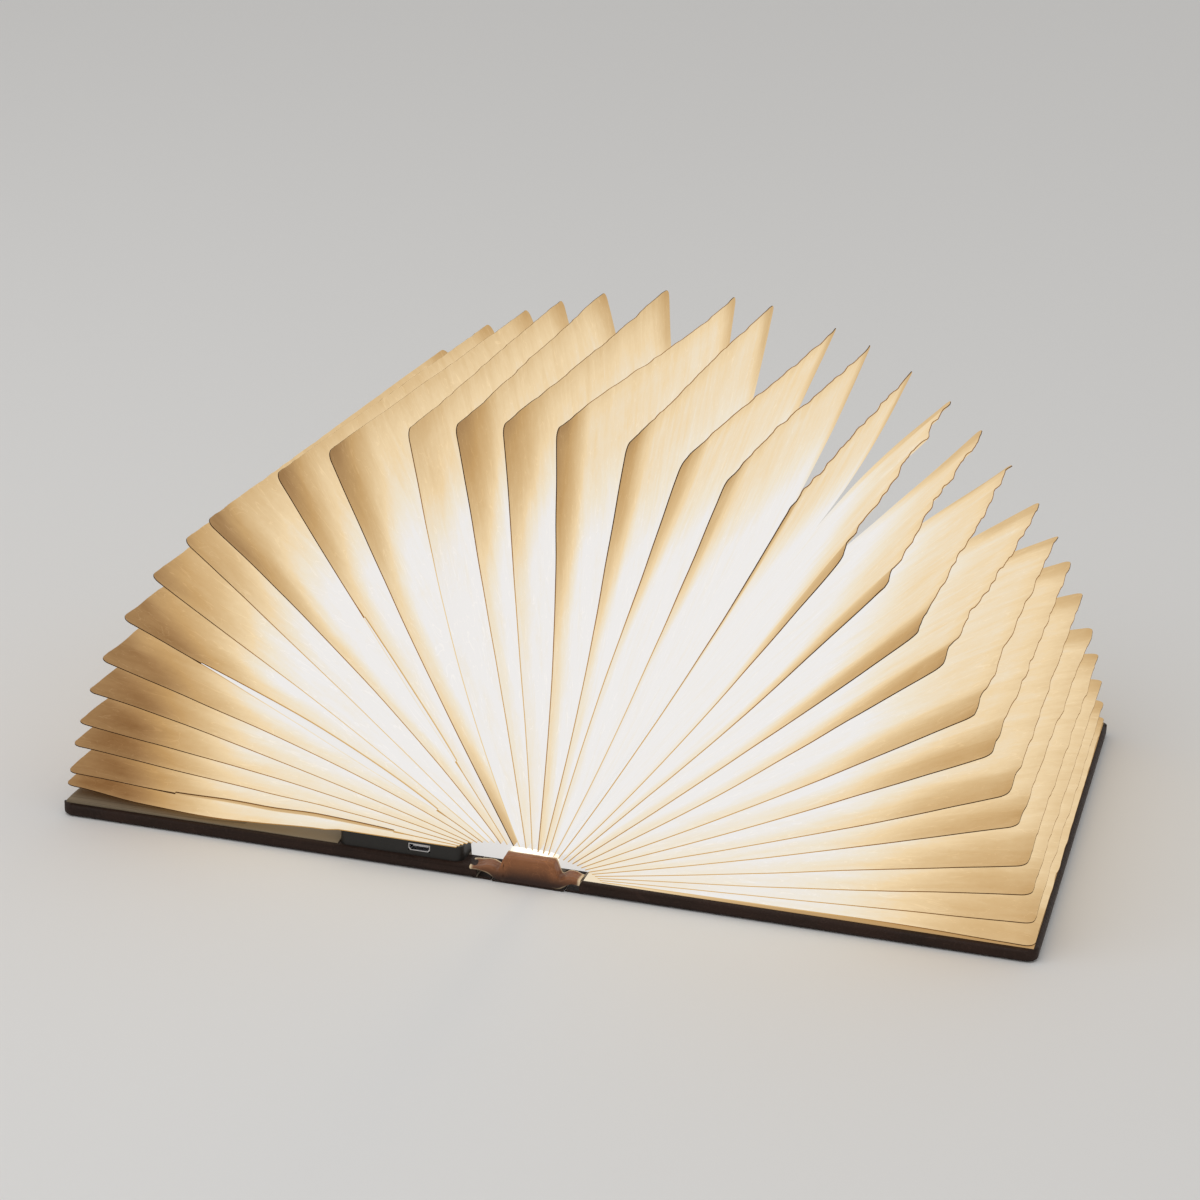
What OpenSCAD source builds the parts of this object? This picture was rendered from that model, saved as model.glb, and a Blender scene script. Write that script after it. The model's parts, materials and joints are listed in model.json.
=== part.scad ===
// Folding book lamp: a hard-covered book that opens to 180 degrees, and on to 360, as a fan of
// translucent pages round a light strip in its spine. X runs across the open covers, Y along the
// spine and Z up from the table. The origin is under the middle of the spine.

/* [Covers] */
// Length of the book along its spine
book_len = 215; // [150:1:260]
// Reach of each cover from its hinge to the fore-edge
cover_reach = 160; // [125:1:200]
// Radius of the covers' outer corners
cover_corner_r = 4; // [2:0.5:12]
// Thickness of the stiff boards
board_t = 3.6; // [2.4:0.1:4.2]
// Thickness of the leather-look paper round the boards
wrap_t = 0.5; // [0.3:0.1:0.8]
// Thickness of the turned-in edges and of the endpaper between them
lip_t = 0.4; // [0.2:0.1:0.6]
// Width of the turned-in edges
lip_w = 12; // [8:1:20]
// Width of the folding groove between the hinge and the board
groove_w = 4.6; // [3.5:0.1:8]
// Thickness of the loose sheet over the endpaper
flyleaf_t = 0.3; // [0.2:0.1:0.4]
// Distance of the loose sheet from the board's edges
flyleaf_inset = 3; // [2:0.5:8]

/* [Pages] */
// Distance between neighbouring pages in the closed book
page_pitch = 0.42; // [0.4:0.01:0.6]
// Thickness of a page, two sheets closed on each other
page_t = 0.22; // [0.16:0.01:0.24]
// Thickness of the seam where the two sheets join
seam_t = 0.3; // [0.26:0.01:0.34]
// Width of that seam along the three free edges
seam_w = 2; // [1:0.5:4]
// Radius of the pages' outer corners
page_corner_r = 3.5; // [3:0.5:15]
// Distance by which the pages stay inside the covers
page_inset = 1; // [1:0.5:5]
// Height of the pages' inner edge above the hinge line
page_root = 12.5; // [11.5:0.5:20]
// Angle of the first page from upright with the covers flat
first_page_angle = 90; // [86:0.5:90]
// Angle of the last page from upright with the covers flat
last_page_angle = 88.5; // [86:0.5:89]
// Place of the upright page in the row
upright_page = 15.5; // [14:0.1:18]
// Crowding of the pages towards the covers, 0 for an even fan
crowding = 0.265; // [0:0.005:0.34]
// Thickness of the lining that joins the pages' inner folds
lining_t = 0.8; // [0.4:0.1:1.2]

/* [Light strip] */
// Width of the light strip's housing
housing_w = 16.6; // [15:0.1:17.5]
// Height of the housing's walls above the spine board
housing_h = 5.4; // [4.5:0.1:5.8]
// Wall of the housing
housing_wall = 1; // [0.8:0.1:1.5]
// Rise of the diffuser's crown over its edges
diffuser_crown = 0.7; // [0.3:0.1:0.9]
// Number of light-emitting chips
chips = 14; // [6:1:20]
// Distance from the strip's ends to the outer chips
chip_margin = 10; // [6:1:30]
// Side of a light-emitting chip
chip_w = 3; // [2:0.1:4]
// Height of a light-emitting chip
chip_h = 0.8; // [0.5:0.1:1.2]
// Length of the wrap folded over each end of the housing
end_flap = 5; // [4:0.5:14]

/* [Power case] */
// Width of the case across the cover
case_w = 45; // [36:1:60]
// Length of the case along the spine
case_len = 86; // [70:1:110]
// Height of the case over the endpaper
case_h = 5.3; // [5:0.1:6]
// Wall of the case
case_wall = 0.8; // [0.6:0.1:1]
// Distance from the hinge line to the case
case_offset = 10.4; // [10.2:0.1:14]
// Distance of the case from the tail end of the book
case_tail = 1.5; // [1:0.5:6]
// Width of the battery cell
battery_w = 32; // [24:1:40]
// Thickness of the battery cell
battery_t = 3; // [2.5:0.1:3.2]
// Distance that the battery cell keeps from the charge board and from the far wall
battery_gap = 2; // [1:0.5:4]
// Length of the charge board along the spine
charge_board_len = 16; // [12:1:20]
// Width of the charging socket
socket_w = 7.8; // [7:0.1:9]
// Height of the charging socket
socket_h = 2.7; // [2.4:0.1:2.9]
// Depth of the charging socket
socket_depth = 5.5; // [5:0.1:7]
// Distance from the hinge line to the middle of the socket
socket_offset = 26; // [22:0.5:32]

/* [Magnets] */
// Radius of a cover magnet
magnet_r = 5; // [3:0.5:6]
// Thickness of a cover magnet
magnet_t = 1.2; // [0.8:0.1:1.4]
// Distance from the fore-edge to the middle of a magnet
magnet_edge = 14; // [10:1:25]

/* [Hidden] */
pages = 32;
page_names = [for (i = [1:pages]) str("page_", i < 10 ? "0" : "", i)];
$fn = 64;

fit = 0.1;                // clearance between glued or nested pieces
running = 0.35;           // clearance between pieces that move past each other
left = -1;
right = 1;

// Heights of the cover's layers over the table
board_z = wrap_t;
lip_z = board_z + board_t;
endpaper_top = lip_z + lip_t;
cover_t = endpaper_top + flyleaf_t;
case_top = endpaper_top + case_h;

// The hinge lines: each cover folds on a roll of wrap at half_spine from the middle
hinge_z = wrap_t;
hinge_roll_r = wrap_t;
closed_block = page_pitch * (pages - 1);
half_spine = (closed_block + case_top + cover_t - 2 * hinge_z + 2 * running) / 2;
first_page_x = -half_spine + case_top - hinge_z + running;

// Spine and light strip
spine_board_w = 2 * (half_spine - cover_t + hinge_z) - running;
spine_board_len = book_len - 2 * wrap_t - 2 * fit;
housing_z = lip_z;
housing_len = spine_board_len;
housing_top = housing_z + housing_h;
strip_w = housing_w - 2 * housing_wall - 2 * fit;
strip_len = housing_len - 2 * end_flap - 2 * fit;
led_board_t = 0.8;
led_board_z = housing_z + housing_wall;
led_board_w = 10;
chip_step = (strip_len - 2 * chip_margin) / (chips - 1);
sensor_size = [4, 3, 1.2];
diffuser_t = 1;

// Covers
board_reach = cover_reach - wrap_t - fit;
board_len = book_len - 2 * wrap_t - 2 * fit;
lip_frame = lip_w + wrap_t;

// Pages
page_len = book_len - 2 * page_inset;
page_reach = cover_reach - page_inset;
function crowd(s) = s * (1 + crowding) - crowding * pow(s, 3);
// Angle of a page from upright, towards the left cover when positive
function page_angle(i) = i < upright_page
    ? first_page_angle * crowd((upright_page - i) / (upright_page - 1))
    : -last_page_angle * crowd((i - upright_page) / (pages - upright_page));
// Each page turns about its own line between the two hinges
function page_pivot(i) = -half_spine * page_angle(i) / 90;
// Place of a page in the closed book
function page_x(i) = first_page_x + page_pitch * (i - 1);
// Section point of a page: reach along it and offset across it, with the covers flat
function page_point(i, reach, off = 0) =
    let (a = page_angle(i), d = page_x(i) - page_pivot(i) + off)
    [page_pivot(i) - reach * sin(a) + d * cos(a), hinge_z + reach * cos(a) + d * sin(a)];

// Power case
case_x = -half_spine - case_offset - case_w;
case_y = -book_len / 2 + case_tail;
case_r = 3;
cavity_z = endpaper_top + case_wall;
cavity_h = case_h - 2 * case_wall;
charge_board_size = [case_w - 2 * case_wall - 2 * fit, charge_board_len, 0.8];
charge_z = cavity_z + fit;
socket_x = -half_spine - socket_offset;
socket_z = charge_z + charge_board_size[2];
socket_shell = 0.3;
battery_size = [battery_w, case_len - 2 * case_wall - charge_board_len - 2 * battery_gap, battery_t];
battery_r = 1.2;

// Outline with rounded outer corners, from x0 at the hinge side to x1
module outline(x0, x1, len, r) {
    translate([x0, -len / 2]) square([x1 - x0 - r, len]);
    translate([x0, -len / 2 + r]) square([x1 - x0, len - 2 * r]);
    for (y = [-1, 1]) translate([x1 - r, y * (len / 2 - r)]) circle(r);
}

// Places a piece drawn outwards from the hinge line on its own side
module on_cover(side) {
    translate([side * half_spine, 0, 0]) mirror([side == left ? 1 : 0, 0, 0]) children();
}

// A rounded box with vertical corners
module rounded_block(size, r) {
    linear_extrude(size[2]) {
        translate([r, 0]) square([size[0] - 2 * r, size[1]]);
        translate([0, r]) square([size[0], size[1] - 2 * r]);
        for (x = [r, size[0] - r], y = [r, size[1] - r]) translate([x, y]) circle(r);
    }
}

module cover_board(side) {
    color([0.55, 0.45, 0.35]) on_cover(side) difference() {
        translate([0, 0, board_z]) linear_extrude(board_t)
            outline(groove_w, board_reach, board_len, cover_corner_r - wrap_t - fit);
        for (y = magnet_ys(side))
            translate([board_reach - magnet_edge, y, lip_z - magnet_t - fit])
                cylinder(r = magnet_r + fit, h = magnet_t + 2 * fit);
    }
}

function magnet_ys(side) = [for (k = [-1, 1]) k * book_len * 0.32];

module cover_magnets(side) {
    color([0.75, 0.75, 0.78]) on_cover(side) for (y = magnet_ys(side))
        translate([board_reach - magnet_edge, y, lip_z - magnet_t - fit]) cylinder(r = magnet_r, h = magnet_t);
}

// The outer paper: skin, three folded edges, turned-in lips and the roll that it folds on
module cover_wrap(side) {
    color([0.16, 0.1, 0.08]) on_cover(side) {
        difference() {
            linear_extrude(endpaper_top) outline(0, cover_reach, book_len, cover_corner_r);
            translate([0, 0, board_z]) linear_extrude(board_t)
                outline(-fit, board_reach + fit, board_len + 2 * fit, cover_corner_r - wrap_t);
            translate([0, 0, lip_z]) linear_extrude(lip_t + fit)
                outline(-fit, cover_reach - lip_frame, book_len - 2 * lip_frame, cover_corner_r - wrap_t);
            translate([-fit, -book_len, board_z]) cube([groove_w + fit, 2 * book_len, cover_t]);
        }
        translate([0, 0, hinge_z]) rotate([90, 0, 0]) cylinder(r = hinge_roll_r, h = book_len, center = true);
    }
}

module endpaper(side) {
    color([0.86, 0.84, 0.8]) on_cover(side) translate([0, 0, lip_z]) linear_extrude(lip_t)
        outline(groove_w, cover_reach - lip_frame - fit, book_len - 2 * lip_frame - 2 * fit,
                cover_corner_r - wrap_t - fit);
}

// The loose sheet lies outside the power case on the left, and over the whole board on the right
module flyleaf(side) {
    start = side == left ? case_offset + case_w + running : groove_w + flyleaf_inset;
    color([0.8, 0.79, 0.76]) on_cover(side) translate([0, 0, endpaper_top]) linear_extrude(flyleaf_t)
        outline(start, board_reach - flyleaf_inset, board_len - 2 * flyleaf_inset, cover_corner_r);
}

module spine_board() {
    color([0.55, 0.45, 0.35]) translate([-spine_board_w / 2, -spine_board_len / 2, board_z])
        cube([spine_board_w, spine_board_len, board_t]);
}

// Skin under the spine, folded up at both ends and in over the housing
module spine_wrap() {
    skin_w = 2 * (half_spine - hinge_roll_r - running);
    wall_h = housing_top + wrap_t - board_z;
    color([0.45, 0.26, 0.16]) {
        translate([-skin_w / 2, -book_len / 2, 0]) cube([skin_w, book_len, wrap_t]);
        for (e = [0, 1]) mirror([0, e, 0]) {
            translate([-housing_w / 2, -book_len / 2, board_z]) cube([housing_w, wrap_t, wall_h]);
            translate([-housing_w / 2, -book_len / 2, housing_top]) cube([housing_w, wrap_t + end_flap, wrap_t]);
        }
    }
}

// Channel with closed ends; its two long walls are stepped for the diffuser
module lamp_housing() {
    color([0.93, 0.92, 0.88]) translate([0, 0, housing_z]) difference() {
        translate([-housing_w / 2, -housing_len / 2, 0]) cube([housing_w, housing_len, housing_h]);
        translate([-strip_w / 2 + housing_wall, -strip_len / 2 + housing_wall, housing_wall])
            cube([strip_w - 2 * housing_wall, strip_len - 2 * housing_wall, housing_h]);
        translate([-strip_w / 2 - fit, -strip_len / 2 - fit, housing_h - diffuser_t - fit])
            cube([strip_w + 2 * fit, strip_len + 2 * fit, housing_h]);
    }
}

// Flat strip with a low crown, a slice of a wide cylinder
module diffuser() {
    crown_r = (pow(strip_w / 2, 2) + pow(diffuser_crown, 2)) / (2 * diffuser_crown);
    color([1, 0.97, 0.88]) translate([0, 0, housing_top]) {
        intersection() {
            translate([0, 0, diffuser_crown - crown_r]) rotate([90, 0, 0])
                cylinder(r = crown_r, h = strip_len, center = true, $fn = 256);
            translate([-strip_w / 2, -strip_len / 2, -diffuser_t])
                cube([strip_w, strip_len, diffuser_t + diffuser_crown + fit]);
        }
    }
}

module led_board() {
    color([0.9, 0.9, 0.86]) translate([-led_board_w / 2, -strip_len / 2 + 2 * housing_wall, led_board_z])
        cube([led_board_w, strip_len - 4 * housing_wall, led_board_t]);
}

module led_chips() {
    color([1, 0.9, 0.5]) for (k = [0:chips - 1])
        translate([-chip_w / 2, -chip_step * (chips - 1) / 2 + k * chip_step - chip_w / 2,
                   led_board_z + led_board_t])
            cube([chip_w, chip_w, chip_h]);
}

module hall_sensor() {
    color([0.1, 0.1, 0.1])
        translate([-sensor_size[0] / 2, strip_len / 2 - 2 * housing_wall - sensor_size[1] - 1,
                   led_board_z + led_board_t])
            cube(sensor_size);
}

// The band of inner folds, between pages a and b, that the pages open from
module page_lining(a, b) {
    steps = b - a;
    outer = [for (k = [0:steps]) page_point(a + k, page_root - running)];
    inner = [for (k = [steps:-1:0]) page_point(a + k, page_root - running - lining_t)];
    color([0.97, 0.94, 0.86]) rotate([90, 0, 0]) linear_extrude(page_len - 2 * seam_w, center = true)
        polygon(concat(outer, inner));
}

// A page: two closed sheets with a seam round the three free edges
module page(i) {
    color([0.96, 0.9, 0.78]) translate([page_pivot(i), 0, hinge_z]) rotate([0, -page_angle(i), 0])
        translate([page_x(i) - page_pivot(i), 0, 0]) rotate([0, -90, 0]) {
            linear_extrude(page_t, center = true) outline(page_root, page_reach, page_len, page_corner_r);
            linear_extrude(seam_t, center = true) difference() {
                outline(page_root, page_reach, page_len, page_corner_r);
                outline(page_root - fit, page_reach - seam_w, page_len - 2 * seam_w, page_corner_r - seam_w);
            }
        }
}

module case_base() {
    color([0.04, 0.04, 0.045]) difference() {
        translate([case_x, case_y, endpaper_top]) rounded_block([case_w, case_len, case_h - case_wall], case_r);
        translate([case_x + case_wall, case_y + case_wall, cavity_z])
            rounded_block([case_w - 2 * case_wall, case_len - 2 * case_wall, case_h], case_r - case_wall);
        translate([socket_x - socket_w / 2 - fit, case_y - fit, socket_z])
            cube([socket_w + 2 * fit, case_wall + 2 * fit, socket_h + fit]);
    }
}

module case_lid() {
    rim_w = 1;
    rim_h = 0.4;
    color([0.05, 0.05, 0.055]) {
        translate([case_x, case_y, case_top - case_wall]) rounded_block([case_w, case_len, case_wall], case_r);
        translate([0, 0, case_top - case_wall - rim_h]) difference() {
            translate([case_x + case_wall + fit, case_y + case_wall + fit, 0])
                rounded_block([case_w - 2 * case_wall - 2 * fit, case_len - 2 * case_wall - 2 * fit, rim_h],
                              case_r - case_wall - fit);
            translate([case_x + case_wall + rim_w, case_y + case_wall + rim_w, -fit])
                rounded_block([case_w - 2 * case_wall - 2 * rim_w, case_len - 2 * case_wall - 2 * rim_w,
                               rim_h + 2 * fit], 1);
            translate([socket_x - socket_w / 2 - 1, case_y, -fit])
                cube([socket_w + 2, case_wall + socket_depth, rim_h + 2 * fit]);
        }
    }
}

module battery_cell() {
    color([0.7, 0.72, 0.75])
        translate([case_x + (case_w - battery_size[0]) / 2,
                   case_y + case_len - case_wall - battery_size[1] - battery_gap / 2, cavity_z + fit])
            rounded_block(battery_size, battery_r);
}

module charge_board() {
    color([0.1, 0.35, 0.2]) translate([case_x + case_wall + fit, case_y + case_wall + fit, charge_z])
        rounded_block(charge_board_size, case_r - case_wall - fit);
}

// Folded metal shell with its mouth towards the tail end
module usb_socket() {
    tongue = [socket_w - 4 * socket_shell - 1, socket_depth - 2, 0.6];
    color([0.8, 0.8, 0.82]) translate([socket_x, case_y + fit, socket_z + fit / 2]) {
        difference() {
            socket_shape(socket_w, socket_h - fit, socket_depth);
            translate([0, -fit, socket_shell])
                socket_shape(socket_w - 2 * socket_shell, socket_h - fit - 2 * socket_shell,
                             socket_depth - socket_shell);
        }
        translate([-tongue[0] / 2, socket_depth - socket_shell - tongue[1], (socket_h - fit - tongue[2]) / 2])
            cube(tongue);
    }
}

// The socket's outline, narrower at its foot
module socket_shape(w, h, depth) {
    foot = 0.7;
    translate([0, depth, 0]) rotate([90, 0, 0]) linear_extrude(depth)
        polygon([[-w / 2 + foot, 0], [w / 2 - foot, 0], [w / 2, foot], [w / 2, h], [-w / 2, h], [-w / 2, foot]]);
}

spine_board();
spine_wrap();
lamp_housing();
diffuser();
led_board();
led_chips();
hall_sensor();
page_lining(1, floor(upright_page));  // left_page_lining
page_lining(floor(upright_page) + 1, pages);  // right_page_lining
cover_board(left);  // left_cover_board
cover_wrap(left);  // left_cover_wrap
endpaper(left);  // left_endpaper
flyleaf(left);  // left_flyleaf
cover_magnets(left);  // left_cover_magnets
case_base();
case_lid();
battery_cell();
charge_board();
usb_socket();
cover_board(right);  // right_cover_board
cover_wrap(right);  // right_cover_wrap
endpaper(right);  // right_endpaper
flyleaf(right);  // right_flyleaf
cover_magnets(right);  // right_cover_magnets
for (i = [1:pages]) page(i);
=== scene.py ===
"""Dresses the folding book lamp: its curled glowing pages, wrapped covers, creased turn-ins and lit spine."""

from __future__ import annotations

import json
import logging
import math
from dataclasses import dataclass, field
from enum import Enum
from typing import Any

import bmesh
import bpy
import numpy as np
from mathutils import Matrix, Vector, noise
from mathutils.kdtree import KDTree

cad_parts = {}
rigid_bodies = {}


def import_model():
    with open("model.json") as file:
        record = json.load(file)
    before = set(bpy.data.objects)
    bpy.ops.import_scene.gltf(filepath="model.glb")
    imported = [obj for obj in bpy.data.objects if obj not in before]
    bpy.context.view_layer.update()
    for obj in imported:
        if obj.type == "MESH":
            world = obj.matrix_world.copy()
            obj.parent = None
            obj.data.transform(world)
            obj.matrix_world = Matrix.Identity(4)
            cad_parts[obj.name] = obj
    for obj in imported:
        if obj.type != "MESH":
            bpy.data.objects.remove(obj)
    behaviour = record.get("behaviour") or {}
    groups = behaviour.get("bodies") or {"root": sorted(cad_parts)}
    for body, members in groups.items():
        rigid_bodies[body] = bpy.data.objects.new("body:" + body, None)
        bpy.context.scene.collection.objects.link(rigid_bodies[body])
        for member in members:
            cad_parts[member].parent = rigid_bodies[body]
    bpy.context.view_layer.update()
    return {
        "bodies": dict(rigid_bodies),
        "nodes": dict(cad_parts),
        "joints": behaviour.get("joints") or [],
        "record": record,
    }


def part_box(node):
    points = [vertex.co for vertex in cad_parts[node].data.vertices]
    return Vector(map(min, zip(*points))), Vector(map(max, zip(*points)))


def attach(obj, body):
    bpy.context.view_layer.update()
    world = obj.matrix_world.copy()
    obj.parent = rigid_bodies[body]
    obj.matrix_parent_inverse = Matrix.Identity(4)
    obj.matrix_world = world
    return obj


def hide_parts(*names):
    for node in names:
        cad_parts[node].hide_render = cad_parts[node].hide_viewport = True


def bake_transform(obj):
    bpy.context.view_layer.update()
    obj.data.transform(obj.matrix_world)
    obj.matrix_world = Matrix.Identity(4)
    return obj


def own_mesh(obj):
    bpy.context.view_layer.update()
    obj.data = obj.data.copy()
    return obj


LOG = logging.getLogger("book_lamp")
MM = 0.001
Colour = tuple[float, float, float]
Material = bpy.types.Material
Mesh = bmesh.types.BMesh
Piece = bpy.types.Object
Socket = bpy.types.NodeSocket
Spot = tuple[float, float, float]
Stops = tuple[tuple[float, Colour], ...]


class Side(Enum):
    """The two halves of the open book, by the sign of X."""

    LEFT = -1
    RIGHT = 1

    @property
    def label(self) -> str:
        """The side's name as the nodes spell it."""
        return self.name.lower()

    @property
    def body(self) -> str:
        """The cover's body on this side."""
        return f"{self.label}_cover"

    @property
    def joint(self) -> str:
        """The hinge of the cover on this side."""
        return f"{self.label}_cover_hinge"


class End(Enum):
    """The two ends of the spine, by the sign of Y."""

    TAIL = -1
    HEAD = 1


# ---- Shader maths ----


class Value:
    """A number that a shader works out, so that node maths reads as an expression."""

    def __init__(self, shader: Shader, socket: Socket) -> None:
        """Wraps an output socket of the shader's tree."""
        self.shader = shader
        self.socket = socket

    def __add__(self, other: Value | float) -> Value:
        """Sum."""
        return self.shader.math("ADD", self, other)

    def __mul__(self, other: Value | float) -> Value:
        """Product."""
        return self.shader.math("MULTIPLY", self, other)

    def __sub__(self, other: Value | float) -> Value:
        """Difference."""
        return self.shader.math("SUBTRACT", self, other)

    def __rsub__(self, other: float) -> Value:
        """A number less this value."""
        return self.shader.math("SUBTRACT", other, self)

    def __abs__(self) -> Value:
        """Size without sign."""
        return self.shader.math("ABSOLUTE", self)

    def clamped(self) -> Value:
        """The value held between 0 and 1."""
        return self.shader.math("ADD", self, 0.0, clamp=True)


class Shader:
    """A Principled material whose nodes are added by name."""

    def __init__(self, name: str, **constants: Any) -> None:
        """Makes the material.

        Args:
            name: The material's name.
            constants: Values for the surface's own sockets, with underscores for spaces.
        """
        self.material = bpy.data.materials.new(name)
        self.material.use_nodes = True
        self.tree = self.material.node_tree
        self.surface = self.tree.nodes["Principled BSDF"]
        for socket, value in constants.items():
            self.feed(self.surface.inputs[socket.replace("_", " ")], value)

    def feed(self, socket: Socket, value: Any) -> None:
        """Links a value or an output to a socket, or sets a constant on it.

        Args:
            socket: The socket.
            value: A value, an output or a constant.
        """
        if isinstance(value, Value):
            self.tree.links.new(value.socket, socket)
        elif isinstance(value, Socket):
            self.tree.links.new(value, socket)
        elif isinstance(value, tuple) and len(value) == 3 and socket.type == "RGBA":
            socket.default_value = (*value, 1.0)
        else:
            socket.default_value = value

    def node(self, kind: str, settings: dict[str, Any] | None = None,
             inputs: dict[str | int, Any] | None = None) -> bpy.types.Node:
        """Adds a node.

        Args:
            kind: The node's type.
            settings: Its own settings; stops fills a colour ramp.
            inputs: Values or links of its sockets, by name or number.

        Returns:
            The node.
        """
        made = self.tree.nodes.new(kind)
        for key, value in (settings or {}).items():
            if key == "stops":
                while len(made.color_ramp.elements) < len(value):
                    made.color_ramp.elements.new(1.0)
                for element, (place, colour) in zip(made.color_ramp.elements, value):
                    element.position = place
                    element.color = (*colour, 1.0)
            else:
                setattr(made, key, value)
        for key, value in (inputs or {}).items():
            self.feed(made.inputs[key], value)
        return made

    def math(self, operation: str, *values: Value | float, clamp: bool = False) -> Value:
        """One Math node.

        Args:
            operation: What it works out.
            values: Its inputs, in order.
            clamp: Whether it holds the result between 0 and 1.

        Returns:
            The result.
        """
        made = self.node("ShaderNodeMath", {"operation": operation, "use_clamp": clamp},
                         dict(enumerate(values)))
        return Value(self, made.outputs[0])

    def place(self, source: str = "Object", scale: Colour = (1.0, 1.0, 1.0)) -> Socket:
        """Texture coordinates stretched along each axis.

        Args:
            source: Which output of the coordinates to read.
            scale: Stretch along each axis.

        Returns:
            The stretched coordinates.
        """
        coordinates = self.node("ShaderNodeTexCoord").outputs[source]
        return self.node("ShaderNodeVectorMath", {"operation": "MULTIPLY"},
                         {0: coordinates, 1: scale}).outputs[0]

    def attribute(self, name: str) -> Value:
        """A number kept on the mesh."""
        return Value(self, self.node("ShaderNodeAttribute", {"attribute_name": name}).outputs["Fac"])

    def noise(self, vector: Socket, scale: float, detail: float = 3.0, distortion: float = 0.0) -> Value:
        """Cloudy noise between 0 and 1.

        Args:
            vector: Texture coordinates.
            scale: How fine the clouds are.
            detail: Layers of finer cloud.
            distortion: How much the clouds swirl.

        Returns:
            The noise.
        """
        made = self.node("ShaderNodeTexNoise", None, {
            "Vector": vector, "Scale": scale, "Detail": detail, "Distortion": distortion})
        return Value(self, made.outputs["Fac"])

    def cells(self, vector: Socket, scale: float) -> Value:
        """Distance to the nearest point of a scatter."""
        made = self.node("ShaderNodeTexVoronoi", None, {"Vector": vector, "Scale": scale})
        return Value(self, made.outputs["Distance"])

    def strand(self, vector: Socket, scale: float, width: float) -> Value:
        """Thin wandering lines, 1 on a line and 0 away from it."""
        level = self.noise(vector, scale, 2.0, 2.2)
        return (1.0 - abs(level - 0.5) * (1.0 / width)).clamped()

    def mix(self, factor: Value | float, low: Any, high: Any) -> Socket:
        """A colour between two others."""
        made = self.node("ShaderNodeMix", {"data_type": "RGBA"}, {0: factor, 6: low, 7: high})
        return made.outputs[2]

    def ramp(self, factor: Value, stops: Stops) -> Socket:
        """A colour read off a ramp."""
        return self.node("ShaderNodeValToRGB", {"stops": stops}, {0: factor}).outputs["Color"]

    def bump(self, height: Value, strength: float, depth: float) -> None:
        """Raises the surface's normal by a height.

        Args:
            height: The height, 0 to 1.
            strength: Share of it that shows.
            depth: Depth of the whole height, in metres.
        """
        made = self.node("ShaderNodeBump", None, {
            "Strength": strength, "Distance": depth, "Height": height})
        self.feed(self.surface.inputs["Normal"], made.outputs["Normal"])

    def colour(self, value: Any) -> None:
        """Feeds the base colour."""
        self.feed(self.surface.inputs["Base Color"], value)

    def roughness(self, value: Value) -> None:
        """Feeds the roughness."""
        self.feed(self.surface.inputs["Roughness"], value)


# ---- Finishes ----


@dataclass(frozen=True)
class PageSheet:
    """Spun-fibre sheet, lit through from the spine by the glow that each page carries."""

    name: str = "page_sheet"
    unlit: Stops = (
        (0.0, (0.2, 0.135, 0.065)),
        (0.4, (0.2, 0.15, 0.09)),
        (0.75, (0.16, 0.135, 0.1)),
        (1.0, (0.1, 0.09, 0.08)),
    )
    lit: Stops = (
        (0.0, (0.088, 0.03, 0.006)),
        (0.2, (0.25, 0.141, 0.059)),
        (0.4, (0.424, 0.264, 0.11)),
        (0.6, (0.576, 0.41, 0.215)),
        (0.75, (0.735, 0.572, 0.35)),
        (0.88, (0.76, 0.69, 0.56)),
        (1.0, (0.775, 0.765, 0.76)),
    )
    crease: Colour = (0.66, 0.54, 0.37)

    def build(self) -> Material:
        """Makes the material.

        Returns:
            The material.
        """
        shader = Shader(self.name, Roughness=0.85, Specular_IOR_Level=0.0, Emission_Strength=1.0)
        sheet = shader.place("UV")
        cloud = shader.noise(sheet, 38.0, 6.0, 0.9)
        streak = shader.noise(shader.place("UV", (34.0, 120.0, 1.0)), 1.0, 5.0, 0.8)
        fine = shader.noise(sheet, 420.0, 4.0, 0.4)
        strands = shader.strand(shader.place("UV", (30.0, 90.0, 1.0)), 1.0, 0.012)
        level = shader.attribute("glow") + (cloud - 0.5) * 0.1 + (streak - 0.5) * 0.16 + (fine - 0.5) * 0.07
        level = level + strands * 0.02
        shader.feed(shader.surface.inputs["Emission Color"], shader.ramp(level, self.lit))
        shader.colour(shader.mix(strands * 0.15, shader.ramp(level, self.unlit), self.crease))
        shader.bump(streak * 0.4 + fine * 0.4 + strands * 0.4, 0.35, 0.0004)
        return shader.material


@dataclass(frozen=True)
class PageEdge:
    """The cut edge and seam of a page: its dark base colour is painted shade, and it stays dark where the
    sheet isn't lit.
    """

    name: str = "page_edge"
    lit: Stops = (
        (0.0, (0.0, 0.0, 0.0)),
        (0.5, (0.03, 0.011, 0.002)),
        (0.75, (0.3, 0.14, 0.035)),
        (0.9, (0.6, 0.37, 0.13)),
        (1.0, (0.78, 0.6, 0.33)),
    )

    def build(self) -> Material:
        """Makes the material.

        Returns:
            The material.
        """
        shader = Shader(self.name, Roughness=0.8, Specular_IOR_Level=0.1, Emission_Strength=1.0)
        grain = shader.noise(shader.place(), 160.0, 3.0)
        # Painted shade: the near-black base colour draws the shade along the cut edge and seam.
        shader.colour(shader.mix(grain, (0.022, 0.009, 0.003), (0.05, 0.022, 0.008)))
        shader.feed(shader.surface.inputs["Emission Color"], shader.ramp(shader.attribute("glow"), self.lit))
        return shader.material


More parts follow.
